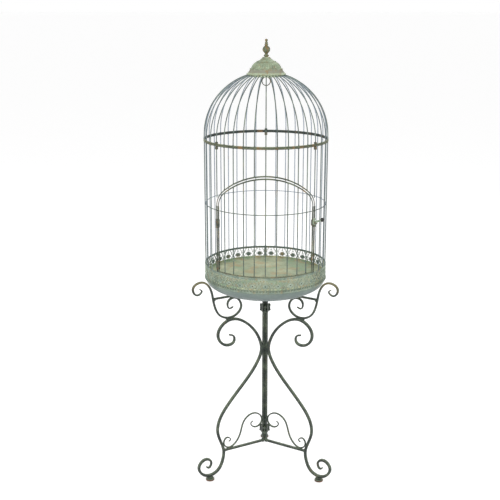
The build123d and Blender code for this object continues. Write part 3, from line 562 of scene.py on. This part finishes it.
# ---------------------------------------------------------------- the stand's forged bars
def smooth_line(points, step):
    """Points every step along a smooth curve through the given ones, with its directions."""
    spots = np.array(points, float)
    gaps = np.linalg.norm(np.diff(spots, axis=0), axis=1)
    count = len(spots)
    matrix = np.zeros((count, count))
    right = np.zeros((count, 2))
    for i in range(1, count - 1):
        matrix[i, i - 1] = gaps[i]
        matrix[i, i] = 2 * (gaps[i - 1] + gaps[i])
        matrix[i, i + 1] = gaps[i - 1]
        before = gaps[i] * (spots[i] - spots[i - 1]) / gaps[i - 1]
        after = gaps[i - 1] * (spots[i + 1] - spots[i]) / gaps[i]
        right[i] = 3 * (before + after)
    for end, near, first, gap in ((0, 1, 0, gaps[0]), (-1, -2, -2, gaps[-1])):
        matrix[end, end], matrix[end, near] = 2.0, 1.0
        right[end] = 3 * (spots[first + 1] - spots[first]) / gap
    slope = np.linalg.solve(matrix, right)
    dense = []
    for i in range(count - 1):
        for t in np.linspace(0, 1, 60, endpoint=False):
            a = (1 + 2 * t) * (1 - t) ** 2 * spots[i] + t * (1 - t) ** 2 * gaps[i] * slope[i]
            b = t * t * (3 - 2 * t) * spots[i + 1] + t * t * (t - 1) * gaps[i] * slope[i + 1]
            dense.append(a + b)
    dense = np.array(dense + [spots[-1]])
    along = np.concatenate([[0.0], np.cumsum(np.linalg.norm(np.diff(dense, axis=0), axis=1))])
    places = np.linspace(0, along[-1], max(int(along[-1] / step), 8))
    line = np.stack([np.interp(places, along, dense[:, k]) for k in (0, 1)], axis=1)
    heading = np.gradient(line, axis=0)
    heading /= np.linalg.norm(heading, axis=1)[:, None]
    return line, heading, places


BAR_SIDES = 20
BAR_STRIDE = 2.2  # mm between sections
CORNER = 0.36  # power that turns a circle into a square with soft corners
TIP_THICK = 0.56  # a tip's thickness and width over the bar's
TIP_WIDE = 0.86
TIP_ROUND = 1.8  # mm of the tip that is rounded off


def forged_bar(name, azimuth, points, width, taper, node):
    """Square bar with soft corners, bent in one upright plane, its ends drawn out thin."""
    line, heading, places = smooth_line(points, BAR_STRIDE)
    across, outward = radial_axes(azimuth)
    build = bmesh.new()
    rows = []
    for spot, way, place in zip(line, heading, places):
        to_tip = min(place, places[-1] - place)
        full = min(to_tip / taper, 1.0)
        full = full * full * (3 - 2 * full)
        rounding = math.sqrt(max(1 - (1 - min(to_tip / TIP_ROUND, 1.0)) ** 2, 0.02))
        thick = width / 2 * (TIP_THICK + (1 - TIP_THICK) * full) * rounding
        wide = width / 2 * (TIP_WIDE + (1 - TIP_WIDE) * full) * rounding
        centre = wall_point(azimuth, spot[0] * MM, spot[1] * MM)
        normal = outward * -way[1] + Vector((0, 0, 1)) * way[0]
        row = []
        for k in range(BAR_SIDES):
            angle = 2 * math.pi * (k + 0.5) / BAR_SIDES
            c, d = math.cos(angle), math.sin(angle)
            u = math.copysign(abs(c) ** CORNER, c) * thick * MM
            v = math.copysign(abs(d) ** CORNER, d) * wide * MM
            row.append(build.verts.new(centre + normal * u + across * v))
        rows.append(row)
    for first, second in zip(rows, rows[1:]):
        skin(build, first, second)
    build.faces.new(rows[0])
    build.faces.new(rows[-1][::-1])
    bmesh.ops.recalc_face_normals(build, faces=build.faces)
    piece = new_piece(name, build, "stand_paint", "stand", smooth=True)
    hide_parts(node)


# The lines of the CAD bars: distance from the axis and height, in mm.
LEG_LINE = (
    (139, 514), (121, 507), (120, 488), (149, 480), (179, 522), (139, 565.4), (62, 536),
    (22, 478), (14.1, 440), (29, 398), (85, 327), (143, 264), (177, 212), (184, 172),
    (170, 125), (162, 97), (166, 62), (184, 29), (215, 16.5), (247, 31), (256, 58),
    (229, 80), (210, 62), (220, 46), (229, 53),
)
TOP_SCROLL_LINE = (
    (245, 689), (236, 682), (250, 670), (267.6, 692), (236, 710.5), (204, 681), (196, 648),
    (189, 618), (173, 589.5), (146, 575.8), (112, 580.8), (92, 608), (117, 641), (142, 628),
    (137, 607), (121, 611),
)
SMALL_SCROLL_LINE = (
    (46, 181), (55, 173), (42, 157), (18.2, 163), (12.2, 183), (42, 209), (81, 190),
    (95, 152), (112, 119), (142, 103.65), (161, 124), (147, 142), (135, 131), (143, 125),
)
FORGED_BARS = (  # piece, line, width, length of its drawn-out ends, node
    ("forged_leg", LEG_LINE, 9.0, 70, "leg"),
    ("forged_top", TOP_SCROLL_LINE, 6.8, 60, "top_scroll"),
    ("forged_small", SMALL_SCROLL_LINE, 4.8, 40, "brace_scroll"),
)
for side, azimuth in LEG_AZIMUTHS.items():
    for name, line, width, taper, node in FORGED_BARS:
        forged_bar(f"{name}_{side}", azimuth, line, width, taper, f"{node}_{side}")

# ---------------------------------------------------------------- floor, light, camera
FLOOR_REACH = 400.0
FLOOR_GREY = 0.95
FLOOR_GLOW = 0.28

corners = [(x * FLOOR_REACH, y * FLOOR_REACH, 0) for x, y in ((-1, -1), (1, -1), (1, 1), (-1, 1))]
floor_mesh = bpy.data.meshes.new("floor")
floor_mesh.from_pydata(corners, [], [(0, 1, 2, 3)])
floor = bpy.data.objects.new("floor", floor_mesh)
bpy.context.collection.objects.link(floor)
pale_floor = bpy.data.materials.new("pale_floor")
pale_floor.use_nodes = True
floor_shader = pale_floor.node_tree.nodes["Principled BSDF"].inputs
floor_shader["Base Color"].default_value = (FLOOR_GREY, FLOOR_GREY, FLOOR_GREY, 1)
floor_shader["Roughness"].default_value = 0.9
floor_shader["Emission Color"].default_value = (1, 1, 1, 1)
floor_shader["Emission Strength"].default_value = FLOOR_GLOW
floor_mesh.materials.append(pale_floor)

# The background is white at the horizon, to meet the floor, and dimmer overhead.
SKY_RANGE = (0.05, 0.30, 1.0, 0.72)  # from and to heights, and the strength at each

world = bpy.data.worlds.new("studio")
bpy.context.scene.world = world
world.use_nodes = True
sky = world.node_tree
sky.nodes["Background"].inputs["Color"].default_value = (1.0, 1.0, 1.0, 1)
ray = sky.nodes.new("ShaderNodeTexCoord")
split = sky.nodes.new("ShaderNodeSeparateXYZ")
fade = sky.nodes.new("ShaderNodeMapRange")
for index, value in enumerate(SKY_RANGE, start=1):
    fade.inputs[index].default_value = value
sky.links.new(ray.outputs["Generated"], split.inputs[0])
sky.links.new(split.outputs[2], fade.inputs[0])
sky.links.new(fade.outputs[0], sky.nodes["Background"].inputs["Strength"])


def softbox(name, place, target, size, power):
    light = bpy.data.lights.new(name, "AREA")
    light.shape = "DISK"
    light.size = size
    light.energy = power
    lamp = bpy.data.objects.new(name, light)
    lamp.location = place
    lamp.rotation_euler = (Vector(target) - Vector(place)).to_track_quat("-Z", "Y").to_euler()
    lamp.visible_camera = False
    bpy.context.collection.objects.link(lamp)


softbox("key_light", (-1.8, -3.4, 3.0), (0, 0, 0.8), 1.4, 80)
softbox("fill_light", (2.8, -1.8, 2.4), (0, 0, 0.8), 1.8, 28)
softbox("back_light", (0.6, 3.0, 3.2), (0, 0, 0.9), 1.6, 24)

CAMERA_PLACE = (0.0, -2.8773, 1.5598)
CAMERA_DIP = 15.19  # degrees below level
CAMERA_PAN = 1.03

camera = bpy.data.objects.new("camera", bpy.data.cameras.new("camera"))
camera.data.lens = 63.97
camera.data.sensor_width = 36.0
camera.location = CAMERA_PLACE
camera.rotation_euler = (math.radians(90 - CAMERA_DIP), 0.0, math.radians(CAMERA_PAN))
bpy.context.collection.objects.link(camera)
bpy.context.scene.camera = camera
bpy.context.scene.view_settings.view_transform = "Standard"
